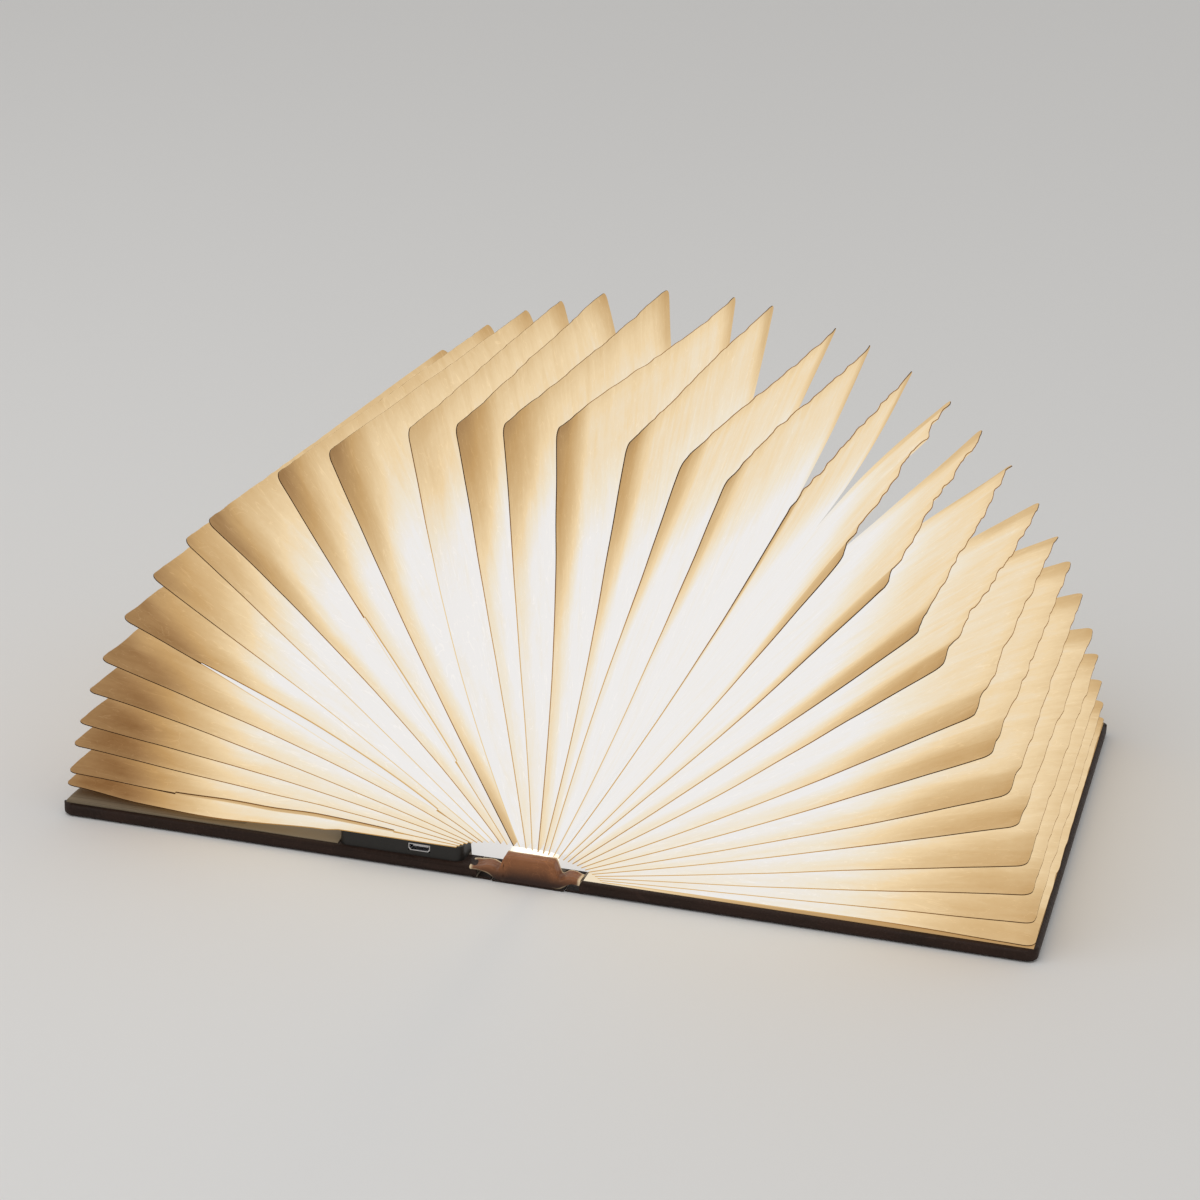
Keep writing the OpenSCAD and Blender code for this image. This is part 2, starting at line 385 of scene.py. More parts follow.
@dataclass(frozen=True)
class Grained:
    """Leather-look paper: pebbled grain, a little wear and torn edges that show its pale core, with painted
    shade where the mesh marks it.
    """

    name: str
    dark: Colour
    pale: Colour
    core: Colour = (0.5, 0.33, 0.19)
    rough: float = 0.5
    specular: float = 0.2
    grain_scale: float = 900.0
    depth: float = 0.00025
    shadow: Colour = (0.03, 0.011, 0.006)

    def build(self) -> Material:
        """Makes the material.

        Returns:
            The material.
        """
        shader = Shader(self.name, Specular_IOR_Level=self.specular)
        place = shader.place()
        pebble = shader.cells(place, self.grain_scale)
        cloud = shader.noise(place, 35.0, 5.0, 0.6)
        scuff = shader.strand(shader.place("Object", (1.0, 1.7, 1.0)), 120.0, 0.02)
        tone = shader.mix((cloud * 1.4 - 0.2).clamped(), self.dark, self.pale)
        tone = shader.mix(scuff * 0.25, tone, tuple(min(1.0, 1.8 * c + 0.01) for c in self.pale))
        # Painted shade: the tone darkens towards the shadow colour where the mesh marks it.
        tone = shader.mix((shader.attribute("fade") + (cloud - 0.5) * 0.4).clamped(), tone, self.shadow)
        torn = shader.attribute("torn") * (shader.noise(place, 700.0, 3.0) * 0.6 + 0.6)
        shader.colour(shader.mix(torn.clamped(), tone, self.core))
        shader.roughness(cloud * 0.2 + pebble * 0.15 + (self.rough - 0.14))
        shader.bump(pebble * 0.8 + cloud * 0.5, 0.5, self.depth)
        return shader.material


@dataclass(frozen=True)
class Moulded:
    """Moulded plastic, card or coating with a fine texture."""

    name: str
    base: Colour
    rough: float = 0.5
    texture_scale: float = 1400.0
    variation: float = 0.12
    depth: float = 0.00008
    emission: Colour = (0.0, 0.0, 0.0)
    emission_strength: float = 0.0

    def build(self) -> Material:
        """Makes the material.

        Returns:
            The material.
        """
        shader = Shader(self.name, Emission_Color=self.emission, Emission_Strength=self.emission_strength)
        place = shader.place()
        fine = shader.noise(place, self.texture_scale, 3.0)
        cloud = shader.noise(place, 28.0, 4.0, 0.4)
        low = tuple(c * (1.0 - self.variation) for c in self.base)
        high = tuple(min(1.0, c * (1.0 + self.variation)) for c in self.base)
        shader.colour(shader.mix(cloud * 0.7 + fine * 0.3, low, high))
        shader.roughness(cloud * 0.1 + fine * 0.1 + (self.rough - 0.1))
        shader.bump(fine, 0.3, self.depth)
        return shader.material


@dataclass(frozen=True)
class Plated:
    """Sheet metal or plating with fine brushing along one axis."""

    name: str
    base: Colour
    rough: float = 0.32
    brush: Colour = (40.0, 900.0, 900.0)

    def build(self) -> Material:
        """Makes the material.

        Returns:
            The material.
        """
        shader = Shader(self.name, Metallic=1.0)
        brushed = shader.noise(shader.place("Object", self.brush), 1.0, 4.0)
        low = tuple(c * 0.82 for c in self.base)
        shader.colour(shader.mix(brushed, low, self.base))
        shader.roughness(brushed * 0.16 + (self.rough - 0.08))
        shader.bump(brushed, 0.2, 0.00004)
        return shader.material


@dataclass(frozen=True)
class Layered:
    """Unlit sheets lying on each other, whose dark base colour is painted shade and whose edges show as faint
    lines.
    """

    name: str = "loose_sheets"
    base: Colour = (0.21, 0.165, 0.11)
    line: Colour = (0.09, 0.065, 0.04)
    pitch: float = 0.9 * MM

    def build(self) -> Material:
        """Makes the material.

        Returns:
            The material.
        """
        shader = Shader(self.name, Roughness=0.75, Specular_IOR_Level=0.2)
        place = shader.place()
        wander = shader.noise(shader.place("Object", (9.0, 9.0, 0.0)), 1.0, 2.0)
        height = Value(shader, shader.node("ShaderNodeSeparateXYZ", None, {0: place}).outputs[2])
        phase = shader.math("FRACT", height * (1.0 / self.pitch) + wander * 2.0)
        seam = (1.0 - phase * 6.0).clamped()
        cloud = shader.noise(place, 60.0, 4.0, 0.8)
        tone = shader.mix(cloud, tuple(c * 0.85 for c in self.base), tuple(c * 1.12 for c in self.base))
        shader.colour(shader.mix(seam * 0.7, tone, self.line))
        shader.bump(cloud, 0.3, 0.0002)
        return shader.material


def stock(finish: Any) -> Any:
    """A field that holds the material of a finish, made when the set of finishes is."""
    return field(default_factory=finish.build)


@dataclass
class Finishes:
    """Every material of the lamp, made once."""

    page: Material = stock(PageSheet())
    edge: Material = stock(PageEdge())
    cover: Material = stock(Grained("dark_cover_paper", (0.012, 0.006, 0.004), (0.032, 0.015, 0.01)))
    copper: Material = stock(Grained(
        "copper_turn_in", (0.16, 0.055, 0.02), (0.34, 0.135, 0.05), core=(0.8, 0.64, 0.42), rough=0.42,
        specular=0.35, grain_scale=700.0, depth=0.0003))
    endpaper: Material = stock(Moulded("endpaper", (0.3, 0.265, 0.22), 0.75, texture_scale=600.0))
    loose: Material = stock(Layered())
    board: Material = stock(Moulded(
        "greyboard", (0.33, 0.28, 0.22), 0.85, texture_scale=500.0, variation=0.2))
    # The housing's emission is painted glow of the lamp's light on its white plastic.
    housing: Material = stock(Moulded(
        "white_plastic", (0.8, 0.76, 0.68), 0.45, emission=(1.0, 0.9, 0.72), emission_strength=0.5))
    glow: Material = stock(Moulded(
        "lit_diffuser", (0.85, 0.82, 0.76), 0.5, emission=(0.66, 0.63, 0.58), emission_strength=1.0))
    lining: Material = stock(Moulded(
        "lit_lining", (0.2, 0.2, 0.2), 0.6, emission=(0.62, 0.61, 0.6), emission_strength=1.0))
    black: Material = stock(Moulded(
        "black_plastic", (0.007, 0.006, 0.005), 0.5, texture_scale=1100.0, variation=0.25, depth=0.00012))
    white_board: Material = stock(Moulded("white_circuit_board", (0.75, 0.75, 0.7), 0.35))
    green_board: Material = stock(Moulded(
        "green_circuit_board", (0.02, 0.13, 0.06), 0.3, texture_scale=700.0, variation=0.3))
    chip: Material = stock(Moulded(
        "light_chip", (0.85, 0.68, 0.25), 0.4, emission=(1.0, 0.85, 0.55), emission_strength=2.0))
    steel: Material = stock(Plated("socket_steel", (0.62, 0.62, 0.64)))
    foil: Material = stock(Plated("cell_foil", (0.6, 0.61, 0.63), 0.4, brush=(300.0, 300.0, 300.0)))
    nickel: Material = stock(Plated("nickel_plate", (0.7, 0.69, 0.67), 0.25, brush=(500.0, 500.0, 40.0)))


# ---- Mesh helpers ----


def smooth(value: float) -> float:
    """Eases a share from 0 to 1."""
    share = min(1.0, max(0.0, value))
    return share * share * (3.0 - 2.0 * share)


def ripple(x: float, y: float, z: float) -> float:
    """Soft noise of either sign at a place."""
    return noise.noise(Vector((x, y, z)))


def slab(xs: list[float], ys: list[float]) -> Mesh:
    """A thin closed slab whose faces lie between given lines.

    Args:
        xs: Places of the lines across X, ascending.
        ys: Places of the lines across Y, ascending.

    Returns:
        The slab, with its lower side at Z 0 and its upper side at Z 1.
    """
    mesh = bmesh.new()
    across, along = len(xs) - 1, len(ys) - 1
    bmesh.ops.create_grid(mesh, x_segments=across, y_segments=along, size=1.0)
    bmesh.ops.solidify(mesh, geom=mesh.faces[:], thickness=0.1)
    lowest = min(v.co.z for v in mesh.verts)
    for vert in mesh.verts:
        vert.co = Vector((xs[round((vert.co.x + 1.0) / 2.0 * across)],
                          ys[round((vert.co.y + 1.0) / 2.0 * along)],
                          0.0 if vert.co.z - lowest < 0.05 else 1.0))
    return mesh


def lines(start: float, stop: float, count: int, margin: float, both: bool = True) -> list[float]:
    """Even lines with closer ones in a margin at the far end, or at both ends.

    Args:
        start: First line.
        stop: Last line.
        count: Number of even gaps.
        margin: Width of the margin.
        both: Whether the near end has a margin too.

    Returns:
        The places of the lines, ascending.
    """
    steps = [margin * share for share in (1.0, 0.62, 0.3, 0.1, 0.0)]
    low = start + margin if both else start
    even = [low + (stop - margin - low) * i / count for i in range(count + 1)]
    head = [start + step for step in reversed(steps)][:-1] if both else []
    return head + even + [stop - step for step in steps[1:]]


def block(mesh: Mesh, size: Spot, centre: Spot) -> list[Any]:
    """Adds a box of a given size about a given centre and returns its points.

    Args:
        mesh: The mesh that it joins.
        size: Its size along each axis.
        centre: Its middle.

    Returns:
        Its points.
    """
    verts = bmesh.ops.create_cube(mesh, size=1.0)["verts"]
    bmesh.ops.scale(mesh, vec=size, verts=verts)
    bmesh.ops.translate(mesh, verts=verts, vec=centre)
    return verts


def soften(mesh: Mesh, edges: list[bmesh.types.BMEdge], radius: float, segments: int) -> None:
    """Rounds edges off."""
    bmesh.ops.bevel(mesh, geom=edges, offset=radius, segments=segments, profile=0.5, affect="EDGES",
                    material=-1)


def finish_piece(name: str, mesh: Mesh, materials: list[Material], level: int = 0) -> Piece:
    """Turns a mesh into an object at the origin.

    Args:
        name: The piece's name.
        mesh: Its mesh, freed here.
        materials: Its materials, by the faces' material numbers.
        level: Levels of subdivision, 0 for none.

    Returns:
        The object, linked to the scene.
    """
    bmesh.ops.recalc_face_normals(mesh, faces=mesh.faces[:])
    data = bpy.data.meshes.new(name)
    mesh.to_mesh(data)
    mesh.free()
    for material in materials:
        data.materials.append(material)
    piece = bpy.data.objects.new(name, data)
    bpy.context.scene.collection.objects.link(piece)
    if level:
        rounder = piece.modifiers.new("round", "SUBSURF")
        rounder.levels = rounder.render_levels = level
    return piece


# ---- Pages ----


@dataclass(frozen=True)
class Curl:
    """How one page bends away from its flat plate, in millimetres, and how its light falls.

    Attributes:
        tail: Swing of the fore-edge at the tail, positive towards the right cover.
        head: Swing of the fore-edge at the head.
        bow: Swell of the middle.
        shade: Strength of the shade along the tail edge.
        gape: Most that each sheet stands off the other at the tail.
        head_bow: Further swell towards the head.
        sag: Drop of the outer half.
        mouth: Shares of the page between which the sheets stand apart.
        dusk: Shade near the root.
        inside: Brightness between the sheets.
    """

    tail: float
    head: float
    bow: float = 0.0
    shade: float = 1.0
    gape: float = 0.0
    head_bow: float = 0.0
    sag: float = 0.0
    mouth: tuple[float, float] = (0.12, 0.8)
    dusk: float = 0.17
    inside: float = 1.0


CURLS: tuple[Curl, ...] = (
    Curl(0.3, 0.3, -0.5, sag=-1.9), Curl(-1.5, -0.5, 0.8, 0.9, gape=0.45, sag=-1.2, inside=0.5),
    Curl(-3, -1.5, 1.4, sag=-0.6), Curl(-5.5, -3, 1.5), Curl(-6.5, -3.5, 1.5, 0.95), Curl(-8, -4, 2.5),
    Curl(-6.5, -1, 2, gape=1.6), Curl(-4, 3, 1.5, 0.45), Curl(-3.5, 5, 1, 0.5), Curl(-11.5, 6.5, 2.5, 1.2),
    Curl(-1, 7.5, 0.5, 1.1, gape=0.5, mouth=(0.2, 0.66), dusk=0.1), Curl(-0.5, 5, -1.2, 0.7, dusk=0.7),
    Curl(7.5, -4, -3, 0.2), Curl(1.5, -6, 1, 0.9), Curl(-4, -3, 0, 0.75), Curl(-6, 2.3, 0.6, 1.3),
    Curl(-2.2, -2.3, 1.2, 1.05), Curl(-3, 4.8, -1.5, 0.8), Curl(-7, 1.9, 1, 0.65, head_bow=3),
    Curl(-4.5, 1.8, 1.8, 0.85, head_bow=4.6), Curl(0.2, 1.4, 2.6, 0.8, head_bow=-6.2), Curl(-1, 1, 1),
    Curl(-1.3, 1.3, 1.4, 1.1), Curl(-3.7, 4.7, 1.5), Curl(0.9, 3.4, 1, 0.9), Curl(0.3, 1.2, 1.2, 0.9),
    Curl(1.6, 1.2, 1, 0.85), Curl(0, 3.5, 1, 0.8), Curl(1.5, 3, 0.8, 0.75), Curl(2.5, 3.5, 0.4, 0.7),
    Curl(2.2, 4, 0.3, 0.65), Curl(3, 3, -0.4, 0.6),
)


@dataclass(frozen=True)
class Fade:
    """How the light from the spine fades over a page, in shares of full brightness and in metres."""

    root: float = 1.1
    least: float = 0.12
    far: float = 0.3
    far_left: float = 0.09
    far_low: float = 0.06
    flat_low: float = 0.14
    corner: float = 0.06
    corner_low: float = 0.24
    corner_width: float = 60.0 * MM
    tail: float = 0.36
    tail_low: float = 0.16
    tail_width: float = 20.0 * MM
    tail_growth: float = 24.0 * MM
    head: float = 0.24
    head_width: float = 32.0 * MM
    rim: float = 0.08
    rim_width: float = 7.0 * MM
    outer_left: float = 0.1


@dataclass
class Page:
    """One page: two sheets joined round their free edges, curled and lit from the spine."""

    number: int
    curl: Curl
    pivot: Vector
    angle: float
    offset: float
    root: float
    reach: float
    length: float
    corner: float = 3.5 * MM
    half_gap: float = 0.17 * MM
    fullness: float = 2.5 * MM
    recess: float = 0.6 * MM
    seam: float = 0.22 * MM
    case_end: float = 57.0
    notch: float = 0.5 * MM
    fade: Fade = Fade()
    across: int = 30
    along: int = 60

    @property
    def name(self) -> str:
        """The node and body name of the page."""
        return f"page_{self.number:02d}"

    @property
    def outward(self) -> Vector:
        """Direction from the spine to the fore-edge."""
        return Vector((-math.sin(self.angle), 0.0, math.cos(self.angle)))

    @property
    def normal(self) -> Vector:
        """Direction across the page, towards the right cover."""
        return Vector((math.cos(self.angle), 0.0, math.sin(self.angle)))

    @property
    def lean(self) -> float:
        """Degrees of the page from upright."""
        return abs(math.degrees(self.angle))

    @classmethod
    def from_frame(cls, number: int, frame: dict[str, Any]) -> Page:
        """Reads a page's place from its plate and its joint.

        Args:
            number: The page's number from the left.
            frame: The loaded frame.

        Returns:
            The page.
        """
        name = f"page_{number:02d}"
        behaviour = frame["record"]["behaviour"]
        joint = next(j for j in frame["joints"] if j["name"] == f"{name}_hinge")
        ratio = next(c["ratio"] for c in behaviour["couplings"] if c["joint"] == joint["name"])
        angle = math.radians(90.0 * ratio) * joint["axis"][1]
        page = cls(number, CURLS[number - 1], Vector(joint["pos_m"]), angle, 0.0, 0.0, 0.0, 0.0)
        points = np.array([v.co for v in frame["nodes"][name].data.vertices]) - np.array(page.pivot)
        outs = points @ np.array(page.outward)
        sides = points @ np.array(page.normal)
        page.offset = float(sides.min() + sides.max()) / 2.0
        page.root = float(outs.min())
        page.reach = float(outs.max()) + page.fullness * math.cos(angle) ** 2
        page.length = float(np.ptp(points[:, 1]))
        return page

    def _round_corner(self, out: float, side: float) -> tuple[float, float]:
        """Pulls a point of the square outline in to the rounded corner.

        Args:
            out: Distance from the hinge.
            side: Place along the spine.

        Returns:
            The point that it becomes, in the same terms.
        """
        radius = self.corner
        a = (out - self.reach + radius) / radius
        b = (abs(side) - self.length / 2.0 + radius) / radius
        if a <= 0.0 or b <= 0.0:
            return out, side
        rounded_a, rounded_b = a * math.sqrt(1.0 - b * b / 2.0), b * math.sqrt(1.0 - a * a / 2.0)
        return (self.reach - radius + radius * rounded_a,
                math.copysign(self.length / 2.0 - radius + radius * rounded_b, side))

    def _share(self, out: float) -> float:
        """Place along the page, 0 at its root and 1 at its fore-edge."""
        return max(0.0, (out - self.root) / (self.reach - self.root))

    def _bend(self, out: float, side: float) -> float:
        """Distance of the sheet from its plate's plane.

        Args:
            out: Distance from the hinge.
            side: Place along the spine.

        Returns:
            The distance in metres, positive towards the right cover.
        """
        share, seed = self._share(out), self.number * 1.7
        along = side / self.length + 0.5
        tip = self.curl.tail + (self.curl.head - self.curl.tail) * smooth(along * 0.9 + 0.05)
        bend = tip * share ** 1.4 + self.curl.bow * math.sin(math.pi * share ** 0.9)
        bend += self.curl.head_bow * along * math.sin(math.pi * share ** 1.3)
        if self.curl.sag:
            loose = 1.0 + 0.5 * ripple(share * 5.0, side * 40.0, seed)
            bend += self.curl.sag * loose * (smooth((share - 0.34) / 0.16) - smooth((share - 0.76) / 0.24))
        place = side / MM
        kinks = ripple(place / 14.0, seed, 0.0)
        kinks += 0.28 * ripple(place / 6.5, seed, 5.0)
        kinks *= (0.6 + 0.9 * smooth((self.lean - 15.0) / 25.0) * (self.angle < 0.0))
        slow = ripple(side * 11.0, share * 1.6, seed) * 1.7 * share
        pucker = ripple(side * 60.0, share * 9.0, seed) * 0.25 * share
        bend += slow + pucker + kinks * smooth((share - 0.6) / 0.4)
        if self.number == 1:
            bend = max(bend, -0.05 - 4.0 * smooth((out / MM - self.case_end) / 12.0))
        return bend * MM

    def _gap(self, out: float, side: float) -> float:
        """Half the space between the two sheets.

        Args:
            out: Distance from the hinge.
            side: Place along the spine.

        Returns:
            Half the space, in metres.
        """
        share, (mouth, shut) = self._share(out), self.curl.mouth
        if not self.curl.gape or not mouth < share < shut:
            return self.half_gap
        belly = math.sin(math.pi * ((share - mouth) / (shut - mouth)) ** 0.8)
        return self.half_gap + self.curl.gape * MM * belly * smooth((-side / self.length + 0.32) / 0.6)

    def point(self, out: float, side: float, layer: float) -> Vector:
        """Point of the curled page.

        Args:
            out: Distance from the hinge.
            side: Place along the spine.
            layer: Share of the half-gap, signed by the sheet.

        Returns:
            The point.
        """
        ragged = ripple(side * 90.0, self.number * 2.1, 9.0)
        torn = abs(self.notch * ragged * smooth((self._share(out) - 0.8) / 0.2))
        across = self.offset + self._bend(out, side) + layer * self._gap(out, side)
        point = self.pivot + self.outward * (out - torn) + self.normal * across
        point.y = side
        return point

    def _shaded(self, share: float, side: float, low: float) -> float:
        """Light lost in the shade along the tail edge.

        Args:
            share: Place from the hinge to the fore-edge, 0 to 1.
            side: Place along the spine.
            low: How low the page lies on its cover, 0 to 1.

        Returns:
            The loss.
        """
        fade, left = self.fade, float(self.angle > 0.0)
        width = (fade.tail_width + fade.tail_growth * share) * (1.0 - 0.5 * smooth((self.angle - 0.15) / 0.6))
        width *= 1.0 + 0.35 * left * smooth((share - 0.6) / 0.4)
        depth = self.curl.dusk * (1.3 - 0.9 * smooth(share * 2.0)) + (fade.tail - fade.tail_low * low) * share
        return depth * self.curl.shade * (1.0 - smooth((side + self.length / 2.0) / width)) ** 1.15

    def _glow(self, out: float, side: float) -> float:
        """Brightness of the light through the sheet, 0 to 1.

        Args:
            out: Distance from the hinge.
            side: Place along the spine.

        Returns:
            The brightness.
        """
        fade, share, left = self.fade, out / self.reach, float(self.angle > 0.0)
        low = smooth((self.lean - 50.0) / 36.0) * (0.2 + 0.8 * left)
        far = fade.far + fade.far_left * left + fade.far_low * low
        level = fade.root - far * smooth((share - 0.5 - 0.08 * left) / 0.43) ** 1.2
        near_tail = 1.0 - smooth((side + self.length / 2.0) / fade.corner_width)
        corner = (fade.corner + fade.corner_low * smooth((self.lean - 48.0) / 15.0)) * left
        level -= corner * near_tail * smooth((share - 0.55) / 0.45)
        level -= fade.flat_low * low * smooth(share * 1.7)
        level -= self._shaded(share, side, low)
        level -= fade.head * share * (1.0 - smooth((self.length / 2.0 - side) / fade.head_width)) ** 1.3
        level -= fade.rim * (1.0 - smooth((self.reach - out) / fade.rim_width))
        level -= fade.outer_left * smooth(share * 1.7 - 0.7) * smooth((self.angle - 0.35) / 0.8)
        return min(1.0, max(fade.least, level))

    def _light_gap(self, mesh: Mesh, rims: list[bmesh.types.BMFace], flat: dict[bmesh.types.BMVert, Spot],
                   glow: Any) -> None:
        """Sinks a lit strip between the two sheets where they stand apart at the tail.

        Args:
            mesh: The page's mesh.
            rims: The closing faces between the sheets at the tail.
            flat: Distance out, place along the spine and sheet of each point.
            glow: The layer that holds the brightness.
        """
        edge = sorted({v for f in rims for v in f.verts}, key=lambda v: flat[v][0])
        spots = [flat[v] for v in edge]
        nearest = KDTree(len(edge))
        for number, vert in enumerate(edge):
            nearest.insert(vert.co, number)
        nearest.balance()
        bmesh.ops.inset_region(mesh, faces=rims, thickness=self.seam, depth=0.0)
        for vert in [v for v in mesh.verts if v not in flat]:
            flat[vert] = spots[nearest.find(vert.co)[1]]
            vert[glow] = self._glow(*flat[vert][:2])
        for face in rims:
            face.material_index, face.smooth = 0, True
        for vert in {v for f in rims for v in f.verts}:
            vert[glow] = self.curl.inside
            vert.co.y += self.recess

    def build(self, finishes: Finishes) -> Piece:
        """Models the page and makes it follow its plate's body.

        Args:
            finishes: The lamp's materials.

        Returns:
            The piece.
        """
        mesh = slab(lines(self.root, self.reach, self.across, self.corner, False),
                    lines(-self.length / 2.0, self.length / 2.0, self.along, self.corner))
        glow = mesh.verts.layers.float.new("glow")
        chart = mesh.loops.layers.uv.new("sheet")
        flat: dict[bmesh.types.BMVert, Spot] = {}
        for vert in mesh.verts:
            out, side = self._round_corner(vert.co.x, vert.co.y)
            flat[vert] = (out, side, 1.0 if vert.co.z > 0.5 else -1.0)
            vert[glow] = self._glow(out, side)
            vert.co = self.point(*flat[vert])
        apart = []
        for face in mesh.faces:
            rim = len({flat[v][2] for v in face.verts}) == 2
            face.material_index, face.smooth = int(rim), not rim
            spots = [flat[v] for v in face.verts]
            at_tail = all(spot[1] < 0.1 * MM - self.length / 2.0 for spot in spots)
            if rim and at_tail and min(self._gap(*spot[:2]) for spot in spots) > self.half_gap + 0.1 * MM:
                apart.append(face)
        if apart:
            self._light_gap(mesh, apart, flat, glow)
        for face in mesh.faces:
            for loop in face.loops:
                out, side, layer = flat[loop.vert]
                loop[chart].uv = (out + 0.4 * self.number, side + 0.3 * (layer > 0.0))
        piece = finish_piece(f"{self.name}_sheets", mesh, [finishes.page, finishes.edge])
        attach(piece, self.name)
        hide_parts(self.name)
        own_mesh(piece)
        return piece


@dataclass
class PageFan:
    """All the pages and the pleated lining that joins their inner folds."""

    pages: list[Page]
    pleat: float = 2.2 * MM
    lining_gap: float = 0.3 * MM
    end_inset: float = 4.9 * MM
    clear: float = 0.2 * MM
    wall_clear: float = 0.3 * MM
    sheet_clear: float = 0.5 * MM
    case_clear: float = 1.0 * MM
    foot_inset: float = 0.8 * MM
    foot_slope: float = 0.5 * MM

    @classmethod
    def from_frame(cls, frame: dict[str, Any]) -> PageFan:
        """Reads every page from the frame."""
        return cls([Page.from_frame(i + 1, frame) for i in range(len(CURLS))])

    def _root_point(self, page: Page, lower: float) -> Vector:
        """A point under a page's root.

        Args:
            page: The page.
            lower: Distance under its root.

        Returns:
            The point, in the plane through the spine's middle.
        """
        point = page.pivot + page.outward * (page.root - lower) + page.normal * page.offset
        highest = page.pivot.z + page.root - self.lining_gap
        return Vector((point.x, 0.0, min(point.z, highest)))

    def _section(self, side: Side) -> list[Vector]:
        """Outline of one half of the lining, from the middle outwards and back under it.

        Args:
            side: Which half.

        Returns:
            Its points, in the plane through the spine's middle.
        """
        keep = [p for p in self.pages if (p.angle > 0.0) == (side is Side.LEFT)]
        keep.sort(key=lambda p: abs(p.angle))
        middle_z = self._root_point(keep[0], self.lining_gap).z
        outline = [Vector((0.0, 0.0, middle_z - self.pleat))]
        for page, after in zip(keep, keep[1:] + [None]):
            outline.append(self._root_point(page, self.lining_gap))
            if after is not None:
                between = (self._root_point(page, self.pleat) + self._root_point(after, self.pleat)) / 2.0
                outline.append(between)
        edge = outline[-1]
        rest_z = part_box(f"{side.label}_endpaper")[1].z + self.sheet_clear
        over_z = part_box("diffuser")[1].z + self.clear
        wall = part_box("lamp_housing")[1].x + self.wall_clear
        if side is Side.LEFT:
            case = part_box("case_lid")[1]
            foot = -case.x - self.case_clear
            corners = [(edge.x, case.z + self.clear), (-foot, case.z + self.clear)]
        else:
            foot = edge.x - self.foot_inset
            corners = [(foot, edge.z - self.clear)]
        corners += [(side.value * (foot - self.foot_slope), rest_z), (side.value * wall, rest_z),
                    (side.value * wall, over_z), (0.0, over_z)]
        return outline + [Vector((x, 0.0, z)) for x, z in corners]

    def build_lining(self, side: Side, finishes: Finishes) -> Piece:
        """Models one half of the lining as a pleated block that glows.

        Args:
            side: Which half.
            finishes: The lamp's materials.

        Returns:
            The piece.
        """
        low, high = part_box(f"{side.label}_page_lining")
        start, end = low.y + self.end_inset, high.y - self.end_inset
        mesh = bmesh.new()
        verts = [mesh.verts.new((p.x, start, p.z)) for p in self._section(side)]
        mesh.faces.new(verts)
        drawn = bmesh.ops.extrude_face_region(mesh, geom=mesh.faces[:], use_keep_orig=True)
        moved = [v for v in drawn["geom"] if isinstance(v, bmesh.types.BMVert)]
        bmesh.ops.translate(mesh, verts=moved, vec=(0.0, end - start, 0.0))
        bmesh.ops.triangulate(mesh, faces=[f for f in mesh.faces if len(f.verts) > 4])
        piece = finish_piece(f"{side.label}_pleated_lining", mesh, [finishes.lining])
        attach(piece, "spine")
        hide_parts(f"{side.label}_page_lining")
        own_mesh(piece)
        return piece

    def build(self, finishes: Finishes) -> None:
        """Models the lining and every page.

        Args:
            finishes: The lamp's materials.
        """
        for side in Side:
            LOG.info("made %s", self.build_lining(side, finishes).name)
        for page in self.pages:
            LOG.info("made %s", page.build(finishes).name)


# ---- Covers ----


